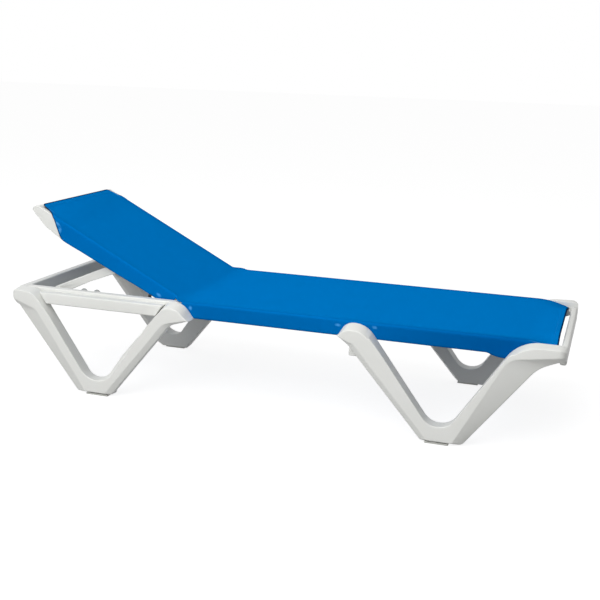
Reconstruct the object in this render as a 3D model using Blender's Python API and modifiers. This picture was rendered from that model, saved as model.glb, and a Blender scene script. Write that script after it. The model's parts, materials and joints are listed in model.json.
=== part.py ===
"""Stacking sun lounger: four V-shaped resin legs, resin rails and a woven sling with an adjustable back.

Metres, +Z up. +X points to the foot end, -X to the head end, -Y is the near side, +Y the far side.
The origin is on the floor, under the middle of the frame. The back stands propped at its rest angle.
"""
from math import atan2, cos, hypot, pi, radians, sin, tan
from types import SimpleNamespace

import bmesh
import bpy
from mathutils import Matrix, Vector

# Overall sizes
frame_length = 1.950
frame_width = 0.710
seat_top = 0.369
gap = 0.0003

# Side rails, which run the whole length inside the sling's folded edges
rail_thickness = 0.027
rail_height = 0.0444
rail_edge = 0.005
rail_end_run = 0.124
rail_end_fall = 0.030
rail_end_steps = 12
sling_thickness = 0.002
sling_hem = 0.022
sling_sag = 0.009
sling_corner = 0.006
seat_start_reach = 0.034
foot_slot = 0.010

# Rods that lock the sling's hem in the rails
spline_radius = 0.0025
spline_inset = 0.0055
spline_sink = 0.0018
spline_end_margin = 0.012

# Legs: places are distances in from the frame's end, heights are drops below the seat's top
leg_depth = 0.0509
leg_edge = 0.004
knob_nose = 0.003
arm_drop = 0.003
bevel_depth_inner = 0.010
bevel_depth_outer = 0.022
crease_inner = 0.022
crease_rise = 0.006
foot_round = 0.020
leg_crown = 0.014
leg_crown_drop = 0.026
leg_crown_fade = 0.014
leg_crown_ending = 0.7
back_open_drop = 0.090
back_open_fade = 0.090

front_knob_tip = 0.726
front_knob_tip_drop = 0.041
front_knob_low = 0.7235
front_knob_low_drop = 0.046
front_knob_crown = 0.7175
front_knob_top_drop = 0.0035
front_knob_rise_bend = 0.045
front_knob_bend = 0.075
front_knob_root = 0.691
front_knob_root_drop = 0.071
front_knob_root_bend = 0.030
front_knob_shoulder = 0.638
front_foot_in = 0.434
front_foot_out = 0.298
front_crease_out = 0.330
front_vee = 0.376
front_vee_height = 0.015
front_vee_radius = 0.064
front_elbow = 0.147
front_elbow_radius = 0.120
front_elbow_low = 0.082
front_elbow_low_drop = 0.079
front_elbow_low_radius = 0.120
front_crease_elbow = 0.172
front_crease_elbow_drop = 0.055
front_crease_elbow_radius = 0.060
front_end_low_drop = 0.054
front_crease_end_drop = 0.034
front_corner_radius = 0.024
front_corner_drop = 0.016
front_corner_inner_drop = 0.008
front_corner_rise = 0.005
front_back_in = 0.024
front_back_out = 0.004
front_back_open = 0.0

rear_knob_tip = 0.6945
rear_knob_tip_drop = 0.052
rear_knob_low = 0.694
rear_knob_low_drop = 0.055
rear_knob_crown = 0.6585
rear_knob_top_drop = 0.0005
rear_knob_rise_bend = 0.060
rear_knob_bend = 0.040
rear_knob_root = 0.623
rear_knob_root_drop = 0.077
rear_knob_root_bend = 0.060
rear_knob_shoulder = 0.600
rear_foot_in = 0.392
rear_foot_out = 0.249
rear_crease_out = 0.293
rear_vee = 0.340
rear_vee_height = -0.001
rear_vee_radius = 0.078
rear_elbow = 0.093
rear_elbow_radius = 0.060
rear_elbow_low = 0.026
rear_elbow_low_drop = 0.0785
rear_elbow_low_radius = 0.010
rear_crease_elbow = 0.100
rear_crease_elbow_drop = 0.073
rear_crease_elbow_radius = 0.040
rear_end_low_drop = 0.066
rear_crease_end_drop = 0.045
rear_corner_radius = 0.018
rear_corner_drop = 0.020
rear_corner_inner_drop = 0.010
rear_corner_rise = 0.013
rear_back_in = 0.004
rear_back_out = 0.040
rear_back_open = 0.028

# Stacking lug on the back of each front leg's inner arm
lug_drop = 0.081
lug_height = 0.026
lug_stand = 0.016
lug_inset = 0.012
lug_width = 0.020
lug_sink = 0.030

# Foot glides under the legs
glide_height = 0.006
glide_inset_in = 0.014
glide_inset_out = 0.044
glide_inset_y = 0.008
glide_edge = 0.0015

# Outer mouldings beside the open rear part of the rails
cover_inset = 0.020
cover_drop = 0.0107
cover_height = 0.041
cover_edge = 0.005
cover_clearance = 0.0010

# Cross members, their tops dropped below the rails' tops
end_rail_depth = 0.021
end_rail_drop = 0.0107
end_rail_height = 0.056
end_rail_edge = 0.007
end_rail_corner = 0.050
head_bar_depth = 0.030
head_bar_drop = 0.0015
head_bar_height = 0.056
head_bar_edge = 0.006
brace_width = 0.044
brace_height = 0.024
brace_drop = 0.0197
brace_edge = 0.003
brace_front_reach = 0.640
brace_rear_reach = 0.105

# Back: a frame that hinges on the side rails
back_angle = 27.0
hinge_reach = 0.635
hinge_drop = 0.0227
back_side_clearance = 0.0055
back_length = 0.668
back_top = 0.024
back_low = -0.032
back_rail_thickness = 0.027
back_rail_edge = 0.005
head_part = 0.168
back_deepening = 0.160
back_deep_low = -0.043
back_sling_start = 0.030
back_sling_margin = 0.020
back_sling_sag = 0.007
back_taut_margin = 0.058
back_hem = 0.020
back_spline_start = 0.045
back_spline_margin = 0.005
head_rail_width = 0.046
head_rail_corner = 0.016
head_rail_edge = 0.003
back_bar_place = 0.100
back_bar_width = 0.030
back_bar_height = 0.022
back_bar_normal = -0.014

# Side view of the head rail's rounded tip and of the sling's curved cut, as shares of the deep head part:
# along it from the back's tip, and of its height from the hinge's plane, up to the top and down to the bottom
head_tip_shares = ((0.137, 0.904), (0.060, 0.625), (0.012, 0.292), (0.0, 0.0), (0.024, -0.093),
                   (0.167, -0.302), (0.464, -0.744), (0.899, -0.930))
sling_cut_shares = ((0.125, 0.750), (0.226, 0.542), (0.435, 0.167), (0.613, -0.186), (0.714, -0.535),
                    (0.792, -0.767), (0.881, -0.953), (0.970, -1.209))

# Hinge pins and their brackets
pin_radius = 0.006
pin_head_radius = 0.010
pin_head_height = 0.003
bracket_thickness = 0.003
bracket_height = 0.039
bracket_head_reach = 0.128
bracket_stop_width = 0.012
bracket_stop_rise = 0.012
bracket_foot_reach = 0.028
bracket_edge = 0.001

# Prop bail: two arms and a bar, hinged to the back rails and resting on toothed racks
bail_pivot_along = 0.280
bail_pivot_drop = 0.018
bail_arm_thickness = 0.021
bail_arm_gap = 0.004
bail_arm_half = 0.0175
bail_foot_half = 0.0165
bail_bow = 0.006
bail_bar_radius = 0.012
bail_bar_clearance = 0.0125
bail_pin_radius = 0.005
bail_edge = 0.002

# Racks on the inner faces of the side rails
rack_end_margin = 0.006
rack_width = 0.026
rack_depth = 0.0257
rack_notch_depth = 0.006
rack_notch_half = 0.015
rack_notches_outward = 1
rack_notches_inward = 6
rack_pitch = 0.048
rack_edge = 0.001
rack_tab_radius = 0.013
rack_tab_thickness = 0.0036
rack_tab_rise = 0.0055
rack_tab_reach = 0.251
rack_tab_spacing = 0.052
rack_tabs = 2

# Bolts that hold the legs to the rails
bolt_radius = 0.004
bolt_head_radius = 0.008
bolt_head_height = 0.004
bolt_crown_share = 0.7
bolt_drop = 0.0227
bolt_front_knob_reach = 0.685
bolt_front_corner_reach = 0.090
bolt_rear_knob_reach = 0.675
bolt_rear_corner_reach = 0.045

# Counts and shared modelling values
overrun = 0.010
bevel_steps = 2
round_sides = 24
rod_sides = 12
arc_steps = 16
smooth_angle = 32.0
flat_angle = 0.1
weld_distance = 0.00003
leg_opening_steps = (1, 7, 1, 6, 4, 16, 4, 8, 3)
leg_outer_steps = (4, 9, 6, 5, 6, 5, 4, 8, 3)
knob_fade_steps = 9
corner_fade_steps = 12
crease_rounding_share = 0.5
edge_share = 0.4
half_share = 0.5
nose_turns = (45.0, 80.0)
corner_turns = (20.0, 40.0, 60.0, 75.0, 90.0)
sag_steps = 16
notch_steps = 6

# Worked out from the sizes above
half_length = frame_length / 2
half_width = frame_width / 2
back_tilt = radians(back_angle)
leg_inner = half_width - leg_depth
sling_outer = leg_inner - gap
rail_outer = sling_outer - sling_thickness - gap
rail_inner = rail_outer - rail_thickness
rail_top = seat_top - sling_thickness - gap
rail_low = rail_top - rail_height
foot_height = glide_height + gap
arm_top = seat_top - arm_drop
end_rail_inner = half_length - end_rail_depth
head_bar_inner = -half_length + head_bar_depth
hinge_place = -half_length + hinge_reach
hinge_height = rail_top - hinge_drop
bolt_height = rail_top - bolt_drop
seat_start = hinge_place + seat_start_reach
seat_end = end_rail_inner - foot_slot
cover_outer = half_width - cover_inset
back_half_width = rail_inner - back_side_clearance
back_rail_outer = back_half_width - sling_thickness - gap
back_rail_inner = back_rail_outer - back_rail_thickness
back_rail_top = back_top - sling_thickness - gap
back_rail_low = back_low + sling_thickness + gap
back_sling_end = back_length - back_sling_margin
back_taut_start = back_length - back_taut_margin
back_deep_end = back_length - head_part
back_deep_start = back_deep_end - back_deepening
back_spline_end = back_deep_start - back_spline_margin
bail_offset = atan2(bail_pivot_drop, bail_pivot_along)
bail_reach = hypot(bail_pivot_along, bail_pivot_drop)
bail_slope = back_tilt - bail_offset
bail_bar_place = hinge_place - 2 * bail_reach * cos(bail_slope)
bail_fold = bail_slope + back_tilt
bail_arm_outer = back_rail_inner - bail_arm_gap
bail_arm_inner = bail_arm_outer - bail_arm_thickness
bail_bar_half_length = rail_inner - bail_bar_clearance
rack_top = hinge_height - bail_bar_radius - gap
rack_low = rack_top - rack_depth
sides = {"near": -1, "far": 1}

parts = bpy.data.collections.new("sun_lounger")
cutters = bpy.data.collections.new("sun_lounger_cutters")
materials = {}


def clear_scene():
    for item in list(bpy.data.objects):
        bpy.data.objects.remove(item, do_unlink=True)
    bpy.context.scene.collection.children.link(parts)
    bpy.context.scene.collection.children.link(cutters)


def material(name, color, roughness, metallic=0.0):
    """A plain Principled material with the piece's colour, roughness and metallic value."""
    made = bpy.data.materials.new(name)
    made.use_nodes = True
    shader = made.node_tree.nodes["Principled BSDF"]
    shader.inputs["Base Color"].default_value = (*color, 1.0)
    shader.inputs["Roughness"].default_value = roughness
    shader.inputs["Metallic"].default_value = metallic
    materials[name] = made


def make_materials():
    material("white_resin", (0.66, 0.67, 0.66), 0.42)
    material("blue_sling", (0.0, 0.15, 0.52), 0.60)
    material("grey_resin", (0.28, 0.29, 0.29), 0.50)
    material("glide_resin", (0.45, 0.46, 0.45), 0.55)
    material("dark_steel", (0.05, 0.05, 0.06), 0.45, 1.0)
    material("bolt_steel", (0.55, 0.56, 0.57), 0.30, 1.0)
    material("spline_resin", (0.60, 0.61, 0.60), 0.45)


def add(name, mesh, finish, parent=None, location=(0, 0, 0), rotation=(0, 0, 0)):
    """Put a mesh in the scene as a named sub-part with its own material, shaded smooth up to an angle."""
    mesh.name = name
    mesh.shade_smooth()
    mesh.set_sharp_from_angle(angle=radians(smooth_angle))
    item = bpy.data.objects.new(name, mesh)
    item.location = location
    item.rotation_euler = rotation
    if parent:
        item.parent = parent
    if finish:
        mesh.materials.clear()
        mesh.materials.append(materials[finish])
        parts.objects.link(item)
    else:
        item.hide_render = True
        item.display_type = "WIRE"
        cutters.objects.link(item)
    return item


def bevel(item, width):
    rounding = item.modifiers.new("rounded_edges", "BEVEL")
    rounding.width = width
    rounding.segments = bevel_steps
    rounding.limit_method = "ANGLE"
    rounding.angle_limit = radians(smooth_angle)
    return item


def combine(item, other, operation="DIFFERENCE"):
    change = item.modifiers.new(other.name, "BOOLEAN")
    change.object = other
    change.operation = operation
    return item


def box(name, low, high, finish, parent=None, edge=0.0):
    """A block between two corners, placed by its centre."""
    low = Vector(low)
    high = Vector(high)
    shape = bmesh.new()
    bmesh.ops.create_cube(shape, size=1.0)
    bmesh.ops.scale(shape, vec=high - low, verts=shape.verts)
    mesh = bpy.data.meshes.new(name)
    shape.to_mesh(mesh)
    shape.free()
    item = add(name, mesh, finish, parent, (low + high) / 2)
    if edge:
        bevel(item, edge)
    return item


def cylinder(shape, radius, depth, count, centre=(0, 0, 0)):
    """A capped cylinder along the Y axis, added to a bmesh."""
    made = bmesh.ops.create_cone(shape, cap_ends=True, segments=count, radius1=radius, radius2=radius,
                                 depth=depth)
    quarter_turn = Matrix.Rotation(pi / 2, 3, "X")
    bmesh.ops.rotate(shape, verts=made["verts"], cent=(0, 0, 0), matrix=quarter_turn)
    bmesh.ops.translate(shape, verts=made["verts"], vec=centre)
    return made["verts"]


def rod(name, radius, start, end, finish, parent=None, count=round_sides, along="Y"):
    """A round bar between two points along Y or X."""
    start = Vector(start)
    end = Vector(end)
    shape = bmesh.new()
    cylinder(shape, radius, (end - start).length, count)
    mesh = bpy.data.meshes.new(name)
    shape.to_mesh(mesh)
    shape.free()
    turn = (0, 0, pi / 2) if along == "X" else (0, 0, 0)
    return add(name, mesh, finish, parent, (start + end) / 2, turn)


def arc(centre, radius, start, end, steps=arc_steps):
    """Points on a circular arc, angles in radians, both ends included."""
    return [(centre[0] + radius * cos(start + (end - start) * step / steps),
             centre[1] + radius * sin(start + (end - start) * step / steps)) for step in range(steps + 1)]


def plate(name, outline, depth, finish, parent=None, location=(0, 0, 0), rotation=(pi / 2, 0, 0), edge=0.0):
    """A flat outline given a thickness. The default rotation stands it in the XZ plane."""
    curve = bpy.data.curves.new(name + "_outline", "CURVE")
    curve.dimensions = "2D"
    curve.fill_mode = "BOTH"
    curve.extrude = depth / 2
    spline = curve.splines.new("POLY")
    spline.points.add(len(outline) - 1)
    for point, (across, up) in zip(spline.points, outline):
        point.co = (across, up, 0, 1)
    spline.use_cyclic_u = True
    drawn = bpy.data.objects.new(name + "_outline", curve)
    parts.objects.link(drawn)
    view = bpy.context.evaluated_depsgraph_get()
    mesh = bpy.data.meshes.new_from_object(drawn.evaluated_get(view))
    bpy.data.objects.remove(drawn)
    shape = bmesh.new()
    shape.from_mesh(mesh)
    bmesh.ops.remove_doubles(shape, verts=shape.verts, dist=weld_distance)
    bmesh.ops.dissolve_limit(shape, angle_limit=radians(flat_angle), verts=shape.verts, edges=shape.edges)
    bmesh.ops.recalc_face_normals(shape, faces=shape.faces)
    shape.to_mesh(mesh)
    shape.free()
    item = add(name, mesh, finish, parent, location, rotation)
    if edge:
        bevel(item, edge)
    return item


def rounded_path(corners, radii):
    """Runs and fillet arcs of an open polyline, as a list of point lists: run, arc, run, ... run."""
    points = [Vector(corner) for corner in corners]
    pieces = []
    start = points[0]
    for index, radius in enumerate(radii, start=1):
        before = (points[index - 1] - points[index]).normalized()
        after = (points[index + 1] - points[index]).normalized()
        half = before.angle(after) / 2
        reach = radius / tan(half)
        first = points[index] + before * reach
        last = points[index] + after * reach
        centre = points[index] + (before + after).normalized() * radius / sin(half)
        pieces.append([start, first])
        sweep = pi - 2 * half
        from_centre = first - centre
        turned = []
        sign = 1 if before.x * after.y - before.y * after.x < 0 else -1
        for step in range(arc_steps + 1):
            angle = sign * sweep * step / arc_steps
            turned.append(centre + Vector((from_centre.x * cos(angle) - from_centre.y * sin(angle),
                                           from_centre.x * sin(angle) + from_centre.y * cos(angle))))
        pieces.append(turned)
        start = last
    pieces.append([start, points[-1]])
    return pieces


def resample(points, steps):
    """Evenly spaced points along a polyline, both ends included."""
    lengths = [0.0]
    for first, second in zip(points, points[1:]):
        lengths.append(lengths[-1] + (second - first).length)
    found = []
    for step in range(steps + 1):
        wanted = lengths[-1] * step / steps
        index = max(i for i, reached in enumerate(lengths[:-1]) if reached <= wanted + weld_distance)
        span = lengths[index + 1] - lengths[index]
        share = (wanted - lengths[index]) / span if span else 0.0
        found.append(points[index].lerp(points[index + 1], min(share, 1.0)))
    return found


def stations(pieces, steps):
    """One list of points along a path, each run and each arc taking its own number of steps."""
    found = []
    for points, count in zip(pieces, steps):
        found += resample(points, count)[1 if found else 0:]
    return found


def leg_curves(leg):
    """The opening's edge, the face's crease and the outer edge of a leg, as matching station points."""
    stop = half_length - leg.corner_radius
    opening = rounded_path(
        [(leg.knob_tip, leg.knob_tip_height), (leg.knob_crown, leg.knob_top), (leg.knob_shoulder, leg.knob_top),
         (leg.vee, leg.vee_height), (leg.elbow, arm_top), (stop, arm_top)],
        [leg.knob_rise_bend, leg.knob_bend, leg.vee_radius, leg.elbow_radius])
    outer = rounded_path(
        [(leg.knob_low, leg.knob_low_height), (leg.knob_root, leg.knob_root_height), (leg.foot_in, foot_height),
         (leg.foot_out, foot_height), (leg.elbow_low, leg.elbow_low_height), (stop, leg.end_low)],
        [leg.knob_root_bend, foot_round, foot_round, leg.elbow_low_radius])
    rise = foot_height + crease_rise
    small_round = foot_round * crease_rounding_share
    crease = rounded_path(
        [(leg.knob_low, leg.knob_low_height + crease_rise * crease_rounding_share),
         (leg.knob_root + crease_inner, leg.knob_root_height + crease_rise),
         (leg.foot_in + crease_inner, rise), (leg.crease_out, rise),
         (leg.crease_elbow, leg.crease_elbow_height), (stop, leg.crease_end)],
        [leg.knob_root_bend, small_round, small_round, leg.crease_elbow_radius])
    return [stations(opening, leg_opening_steps), stations(crease, leg_outer_steps),
            stations(outer, leg_outer_steps)]


def leg_rings(leg):
    """Cross-sections of a leg as lists of (distance, height, depth behind the outer face).

    Behind the moulding's parting line the arms taper, so the leg's inner face has a narrower outline. The tops
    of the knob and the arm slope down towards the outside, so that water runs off."""
    opening, crease, outer = leg_curves(leg)
    foot_first = sum(leg_opening_steps[:5])
    foot_steps = leg_opening_steps[5]
    rings = []
    for index, (inner, fold, edge) in enumerate(zip(opening, crease, outer)):
        share = min(max((index - foot_first) / foot_steps, 0.0), 1.0)
        slant = bevel_depth_inner + (bevel_depth_outer - bevel_depth_inner) * share
        near_knob = (1 - share) * min(index / knob_fade_steps, 1.0)
        near_corner = share * min((len(outer) - 1 - index) / corner_fade_steps, 1.0)
        back_edge = edge + Vector((leg.back_in * near_knob - leg.back_out * near_corner, 0))
        lowered = min(max((below(back_open_drop) - inner.y) / back_open_fade, 0.0), 1.0)
        back_inner = inner + Vector((leg.back_open * (1 - share) * lowered, 0))
        crowned = min(max((inner.y - below(leg_crown_drop + leg_crown_fade)) / leg_crown_fade, 0.0), 1.0)
        ending = max(1 - (len(outer) - 1 - index) / corner_fade_steps, 0.0)
        front_inner = inner - Vector((0, leg_crown * crowned * (1 - leg_crown_ending * ending)))
        rings.append([(*front_inner, 0.0), (*fold, 0.0), (*edge, slant), (*back_edge, leg_depth),
                      (*back_inner, leg_depth)])
    tip = []
    centre = sum((Vector(point) for point in rings[0]), Vector((0, 0, 0))) / len(rings[0])
    for turn in reversed(nose_turns):
        shrink = cos(radians(turn))
        reach = Vector((-knob_nose * sin(radians(turn)), 0, 0))
        tip.append([tuple(centre + (Vector(point) - centre) * shrink + reach) for point in rings[0]])
    corner = []
    heights = [height for along, height, depth in rings[-1]]
    middle = (min(heights) + max(heights)) / 2
    for turn in corner_turns:
        rounding = 1 - cos(radians(turn))
        advance = leg.corner_radius * sin(radians(turn))
        section = []
        for along, height, depth in rings[-1]:
            outward = 1 - depth / leg_depth
            drop = leg.corner_inner_drop + (leg.corner_drop - leg.corner_inner_drop) * outward
            change = leg.corner_rise if height < middle else -drop
            section.append((along + advance, height + change * rounding,
                            depth + leg.corner_radius * rounding * outward))
        corner.append(section)
    return [rounded_ring(ring) for ring in tip + rings + corner]


def rounded_ring(ring):
    """Each corner of a cross-section turned into a small curve of three points."""
    points = [Vector(point) for point in ring]
    found = []
    for index, point in enumerate(points):
        before = points[index - 1] - point
        after = points[(index + 1) % len(points)] - point
        reach = min(leg_edge, before.length * edge_share, after.length * edge_share)
        first = point + before.normalized() * reach
        last = point + after.normalized() * reach
        found += [tuple(first), tuple((first.lerp(point, half_share) + last.lerp(point, half_share)) * half_share),
                  tuple(last)]
    return found


def leg_mesh(name, leg, side):
    """Loft a leg's cross-sections into one closed body."""
    shape = bmesh.new()
    rings = []
    for ring in leg_rings(leg):
        rings.append([shape.verts.new((leg.end * along, side * (half_width - depth), height))
                      for along, height, depth in ring])
    for first, second in zip(rings, rings[1:]):
        for index in range(len(first)):
            following = (index + 1) % len(first)
            shape.faces.new((first[index], first[following], second[following], second[index]))
    shape.faces.new(rings[0])
    shape.faces.new(list(reversed(rings[-1])))
    bmesh.ops.recalc_face_normals(shape, faces=shape.faces)
    mesh = bpy.data.meshes.new(name)
    shape.to_mesh(mesh)
    shape.free()
    return mesh


def placed(reach):
    """A distance from the middle, from a distance in from the frame's end."""
    return half_length - reach


def below(drop):
    """A height above the floor, from a drop below the seat's top."""
    return seat_top - drop


def leg_sizes():
    front = SimpleNamespace(
        end=1, knob_tip=placed(front_knob_tip), knob_tip_height=below(front_knob_tip_drop),
        knob_low=placed(front_knob_low), knob_low_height=below(front_knob_low_drop),
        knob_crown=placed(front_knob_crown), knob_top=below(front_knob_top_drop),
        knob_rise_bend=front_knob_rise_bend, knob_bend=front_knob_bend, knob_root=placed(front_knob_root),
        knob_root_height=below(front_knob_root_drop), knob_root_bend=front_knob_root_bend,
        knob_shoulder=placed(front_knob_shoulder), foot_in=placed(front_foot_in), foot_out=placed(front_foot_out),
        crease_out=placed(front_crease_out), vee=placed(front_vee), vee_height=front_vee_height,
        vee_radius=front_vee_radius, elbow=placed(front_elbow), elbow_radius=front_elbow_radius,
        elbow_low=placed(front_elbow_low), elbow_low_height=below(front_elbow_low_drop),
        elbow_low_radius=front_elbow_low_radius, crease_elbow=placed(front_crease_elbow),
        crease_elbow_height=below(front_crease_elbow_drop), crease_elbow_radius=front_crease_elbow_radius,
        end_low=below(front_end_low_drop), crease_end=below(front_crease_end_drop),
        corner_radius=front_corner_radius, corner_drop=front_corner_drop,
        corner_inner_drop=front_corner_inner_drop, corner_rise=front_corner_rise, back_in=front_back_in,
        back_out=front_back_out, back_open=front_back_open)
    rear = SimpleNamespace(
        end=-1, knob_tip=placed(rear_knob_tip), knob_tip_height=below(rear_knob_tip_drop),
        knob_low=placed(rear_knob_low), knob_low_height=below(rear_knob_low_drop),
        knob_crown=placed(rear_knob_crown), knob_top=below(rear_knob_top_drop),
        knob_rise_bend=rear_knob_rise_bend, knob_bend=rear_knob_bend, knob_root=placed(rear_knob_root),
        knob_root_height=below(rear_knob_root_drop), knob_root_bend=rear_knob_root_bend,
        knob_shoulder=placed(rear_knob_shoulder), foot_in=placed(rear_foot_in), foot_out=placed(rear_foot_out),
        crease_out=placed(rear_crease_out), vee=placed(rear_vee), vee_height=rear_vee_height,
        vee_radius=rear_vee_radius, elbow=placed(rear_elbow), elbow_radius=rear_elbow_radius,
        elbow_low=placed(rear_elbow_low), elbow_low_height=below(rear_elbow_low_drop),
        elbow_low_radius=rear_elbow_low_radius, crease_elbow=placed(rear_crease_elbow),
        crease_elbow_height=below(rear_crease_elbow_drop), crease_elbow_radius=rear_crease_elbow_radius,
        end_low=below(rear_end_low_drop), crease_end=below(rear_crease_end_drop),
        corner_radius=rear_corner_radius, corner_drop=rear_corner_drop,
        corner_inner_drop=rear_corner_inner_drop, corner_rise=rear_corner_rise, back_in=rear_back_in,
        back_out=rear_back_out, back_open=rear_back_open)
    return {"front": front, "rear": rear}


def make_lug(name, leg, side):
    """A small block on the inner arm's lower edge, which keeps stacked loungers apart."""
    top = below(lug_drop)
    slope = (leg.foot_in - leg.knob_root) / (leg.knob_root_height - foot_height)
    edge = leg.knob_root + (leg.knob_root_height - top + lug_height / 2) * slope
    span_x = sorted((leg.end * (edge - lug_stand), leg.end * (edge + lug_sink)))
    outside = half_width - lug_inset
    span_y = sorted((side * outside, side * (outside - lug_width)))
    return box(name + "_lug", (span_x[0], span_y[0], top - lug_height), (span_x[1], span_y[1], top), None,
               edge=leg_edge)


def make_legs():
    """Four lofted legs, the front pair with a stacking lug, each standing on a glide."""
    for place, leg in leg_sizes().items():
        for side_name, side in sides.items():
            name = "leg_%s_%s" % (place, side_name)
            item = add(name, leg_mesh(name, leg, side), "white_resin")
            if place == "front":
                combine(item, make_lug(name, leg, side), "UNION")
            span_x = sorted((leg.end * (leg.foot_in + glide_inset_in), leg.end * (leg.foot_out - glide_inset_out)))
            span_y = sorted((side * (leg_inner + glide_inset_y), side * (half_width - glide_inset_y)))
            box("glide_%s_%s" % (place, side_name), (span_x[0], span_y[0], 0), (span_x[1], span_y[1], glide_height),
                "glide_resin", edge=glide_edge)


def bolt_places():
    return (half_length - bolt_front_knob_reach, half_length - bolt_front_corner_reach,
            -half_length + bolt_rear_knob_reach, -half_length + bolt_rear_corner_reach)


def make_side_rails():
    """Full-length rails whose top falls at the foot end, with a groove for the rod and holes for the bolts."""
    for side_name, side in sides.items():
        name = "side_rail_" + side_name
        foot_end = end_rail_inner - gap
        outline = [(head_bar_inner + gap, rail_top), (head_bar_inner + gap, rail_low), (foot_end, rail_low)]
        for step in range(rail_end_steps + 1):
            share = 1 - step / rail_end_steps
            outline.append((foot_end - rail_end_run * (1 - share), rail_top - rail_end_fall * share ** 2))
        middle = side * (rail_outer - rail_thickness / 2)
        rail = plate(name, outline, rail_thickness, "white_resin", location=(0, middle, 0), edge=rail_edge)
        start = seat_start + spline_end_margin
        stop = seat_end - spline_end_margin
        across = side * (rail_inner + spline_inset)
        height = rail_low + spline_sink
        combine(rail, rod(name + "_groove", spline_radius + gap, (start - gap, across, height),
                          (stop + gap, across, height), None, count=rod_sides, along="X"))
        rod("sling_spline_" + side_name, spline_radius, (start, across, height), (stop, across, height),
            "spline_resin", count=rod_sides, along="X")
        inside = side * (rail_inner - overrun)
        outside = side * (rail_outer + overrun)
        combine(rail, rod(name + "_pin_hole", pin_radius + gap, (hinge_place, inside, hinge_height),
                          (hinge_place, outside, hinge_height), None))
        for number, place in enumerate(bolt_places()):
            combine(rail, rod("%s_bolt_hole_%d" % (name, number), bolt_radius + gap,
                              (place, inside, bolt_height), (place, outside, bolt_height), None,
                              count=rod_sides))


def make_rail_covers():
    """Outer mouldings that fill the space between the rear legs' arms beside the open part of the rails."""
    leg = leg_sizes()["rear"]
    inner_slope = (leg.vee - leg.knob_shoulder) / (leg.knob_top - leg.vee_height)
    outer_slope = (leg.elbow - leg.vee) / (arm_top - leg.vee_height)
    outline = []
    cover_top = rail_top - cover_drop
    cover_low = cover_top - cover_height
    for height in (cover_top, cover_low):
        outline.append((-(leg.knob_shoulder + (leg.knob_top - height) * inner_slope + cover_clearance), height))
    for height in (cover_low, cover_top):
        outline.append((-(leg.elbow - (arm_top - height) * outer_slope - cover_clearance), height))
    depth = cover_outer - rail_outer - gap
    for side_name, side in sides.items():
        middle = side * (cover_outer - depth / 2)
        plate("rail_cover_" + side_name, outline, depth, "white_resin", location=(0, middle, 0), edge=cover_edge)


def baked(item):
    """The mesh that an object's modifiers make, as plain geometry."""
    view = bpy.context.evaluated_depsgraph_get()
    mesh = bpy.data.meshes.new_from_object(item.evaluated_get(view))
    bpy.data.objects.remove(item)
    return mesh


def headed_pin(name, finish, sizes, centre, side, parent=None):
    """A pin with a crowned head: a profile turned about its own axis, its origin under the head."""
    head_radius, head_height, shank_radius, shank_length = sizes
    crown = head_radius * bolt_crown_share
    profile = [(0, shank_length), (shank_radius, shank_length), (shank_radius, -gap), (head_radius, -gap),
               (head_radius, -head_height / 2 - gap), (crown, -head_height - gap), (0, -head_height - gap)]
    mesh = bpy.data.meshes.new(name + "_profile")
    mesh.from_pydata([(radius, 0, height) for radius, height in profile],
                     [(index, index + 1) for index in range(len(profile) - 1)], [])
    blank = bpy.data.objects.new(name + "_profile", mesh)
    parts.objects.link(blank)
    turning = blank.modifiers.new("turned", "SCREW")
    turning.axis = "Z"
    turning.angle = 2 * pi
    turning.steps = round_sides
    turning.render_steps = round_sides
    turning.use_merge_vertices = True
    turning.merge_threshold = weld_distance
    return add(name, baked(blank), finish, parent, centre, (-side * pi / 2, 0, 0))


def make_bolts():
    """Eight bolts from inside the rails towards the legs."""
    sizes = (bolt_head_radius, bolt_head_height, bolt_radius, rail_thickness - gap)
    for side_name, side in sides.items():
        for number, place in enumerate(bolt_places(), start=1):
            headed_pin("leg_bolt_%s_%d" % (side_name, number), "bolt_steel", sizes,
                       (place, side * rail_inner, bolt_height), side)


def make_cross_members():
    """End rail, head bar and two braces between the side rails."""
    reach = leg_inner - gap
    top = rail_top - end_rail_drop
    corner = end_rail_corner
    outline = [(-reach, top - end_rail_height), (reach, top - end_rail_height)]
    outline += arc((reach - corner, top - corner), corner, 0, pi / 2)
    outline += arc((corner - reach, top - corner), corner, pi / 2, pi)
    plate("end_rail", outline, end_rail_depth, "white_resin", location=(half_length - end_rail_depth / 2, 0, 0),
          rotation=(pi / 2, 0, pi / 2), edge=end_rail_edge)
    top = rail_top - head_bar_drop
    box("head_bar", (-half_length, -reach, top - head_bar_height), (head_bar_inner, reach, top), "white_resin",
        edge=head_bar_edge)
    inner = rail_inner - gap
    top = rail_top - brace_drop
    places = {"brace_front": half_length - brace_front_reach, "brace_rear": hinge_place + brace_rear_reach}
    for name, place in places.items():
        box(name, (place - brace_width / 2, -inner, top - brace_height), (place + brace_width / 2, inner, top),
            "white_resin", edge=brace_edge)


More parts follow.
